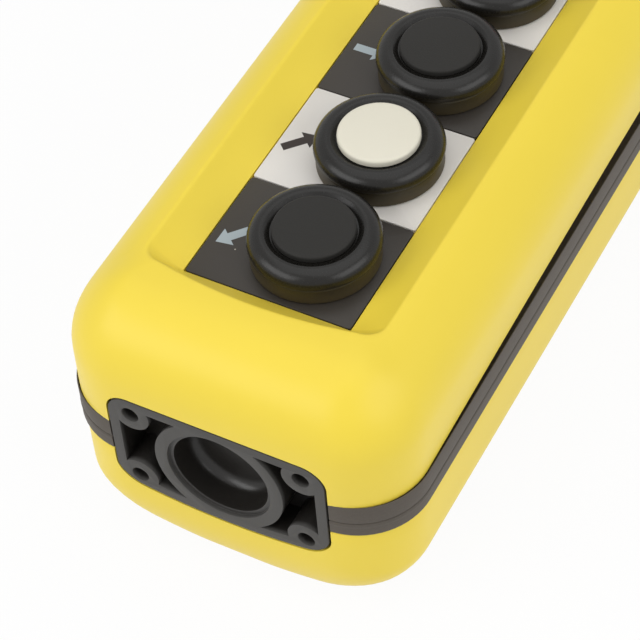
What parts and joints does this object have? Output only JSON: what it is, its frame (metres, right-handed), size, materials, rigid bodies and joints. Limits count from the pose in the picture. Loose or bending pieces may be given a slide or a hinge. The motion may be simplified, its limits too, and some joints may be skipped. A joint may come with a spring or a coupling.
{
  "type": "crane hoist pendant control",
  "caption": "Hand-held pendant control for a crane hoist: yellow two-part housing, booted push buttons in a legend recess, stop button, end plate and cable sleeve.",
  "frame": {"origin": "under the middle of the whole part, on the plane of its flat back face", "axes": "+Z out of the back towards the buttons, +Y along the body to the cable end, +X to the right when the buttons face the viewer and the cable end is up"},
  "size_m": [0.083, 0.371, 0.0917],
  "materials": {
    "yellow_shell": "satin moulded",
    "seam_rubber": "matt",
    "black_moulding": "satin",
    "sleeve_rubber": "matt",
    "boot_rubber": "satin",
    "dark_cap": "matt",
    "cream_cap": "satin",
    "dark_legend": "satin",
    "light_legend": "satin",
    "stop_legend": "satin",
    "red_moulding": "gloss",
    "nylon": "satin",
    "grey_nylon": "satin",
    "spring_steel": "bright",
    "zinc_steel": "zinc plated"
  },
  "bodies": {
    "housing": {"front_shell": "yellow_shell", "back_shell": "yellow_shell", "seam_band_left": "seam_rubber", "seam_band_right": "seam_rubber", "end_plate": "black_moulding", "cable_sleeve": "sleeve_rubber", "stop_legend_plate": "stop_legend", "stop_bezel": "black_moulding", "stop_spring": "spring_steel", "stop_guide_bush": "grey_nylon", "stop_contact_block": "grey_nylon", "mounting_rail": "zinc_steel", "legend_plate_1": "dark_legend", "return_spring_1": "spring_steel", "guide_bush_1": "grey_nylon", "contact_block_1": "grey_nylon", "legend_plate_2": "light_legend", "return_spring_2": "spring_steel", "guide_bush_2": "grey_nylon", "contact_block_2": "grey_nylon", "legend_plate_3": "dark_legend", "return_spring_3": "spring_steel", "guide_bush_3": "grey_nylon", "contact_block_3": "grey_nylon", "legend_plate_4": "light_legend", "return_spring_4": "spring_steel", "guide_bush_4": "grey_nylon", "contact_block_4": "grey_nylon", "legend_plate_5": "dark_legend", "return_spring_5": "spring_steel", "guide_bush_5": "grey_nylon", "contact_block_5": "grey_nylon", "legend_plate_6": "light_legend", "return_spring_6": "spring_steel", "guide_bush_6": "grey_nylon", "contact_block_6": "grey_nylon", "housing_screw_1": "zinc_steel", "housing_screw_2": "zinc_steel", "housing_screw_3": "zinc_steel", "housing_screw_4": "zinc_steel"},
    "button_1": {"button_cap_1": "dark_cap", "boot_1": "boot_rubber", "plunger_1": "nylon"},
    "button_2": {"button_cap_2": "cream_cap", "boot_2": "boot_rubber", "plunger_2": "nylon"},
    "button_3": {"button_cap_3": "dark_cap", "boot_3": "boot_rubber", "plunger_3": "nylon"},
    "button_4": {"button_cap_4": "cream_cap", "boot_4": "boot_rubber", "plunger_4": "nylon"},
    "button_5": {"button_cap_5": "dark_cap", "boot_5": "boot_rubber", "plunger_5": "nylon"},
    "button_6": {"button_cap_6": "cream_cap", "boot_6": "boot_rubber", "plunger_6": "nylon"},
    "stop_slide": {"stop_stem": "nylon"},
    "stop_head": {"stop_mushroom": "red_moulding"}
  },
  "joints": [
    {"name": "button_1_press", "type": "slide", "parent": "housing", "child": "button_1", "axis": [0, 0, -1], "range_m": [0, 0.0032], "stiffness_N_per_m": 400, "springref_m": -0.001, "deforming": ["boot_1", "return_spring_1"]},
    {"name": "button_2_press", "type": "slide", "parent": "housing", "child": "button_2", "axis": [0, 0, -1], "range_m": [0, 0.0032], "stiffness_N_per_m": 400, "springref_m": -0.001, "deforming": ["boot_2", "return_spring_2"]},
    {"name": "button_3_press", "type": "slide", "parent": "housing", "child": "button_3", "axis": [0, 0, -1], "range_m": [0, 0.0032], "stiffness_N_per_m": 400, "springref_m": -0.001, "deforming": ["boot_3", "return_spring_3"]},
    {"name": "button_4_press", "type": "slide", "parent": "housing", "child": "button_4", "axis": [0, 0, -1], "range_m": [0, 0.0032], "stiffness_N_per_m": 400, "springref_m": -0.001, "deforming": ["boot_4", "return_spring_4"]},
    {"name": "button_5_press", "type": "slide", "parent": "housing", "child": "button_5", "axis": [0, 0, -1], "range_m": [0, 0.0032], "stiffness_N_per_m": 400, "springref_m": -0.001, "deforming": ["boot_5", "return_spring_5"]},
    {"name": "button_6_press", "type": "slide", "parent": "housing", "child": "button_6", "axis": [0, 0, -1], "range_m": [0, 0.0032], "stiffness_N_per_m": 400, "springref_m": -0.001, "deforming": ["boot_6", "return_spring_6"]},
    {"name": "stop_press", "type": "slide", "parent": "housing", "child": "stop_slide", "axis": [0, 0, -1], "range_m": [0, 0.005], "deforming": ["stop_spring"]},
    {"name": "stop_twist", "type": "hinge", "parent": "stop_slide", "child": "stop_head", "pos_m": [0.0036, 0.04345, 0.0811], "axis": [0, 0, -1], "range_deg": [0, 45], "stiffness_Nm_per_rad": 0.02}
  ]
}
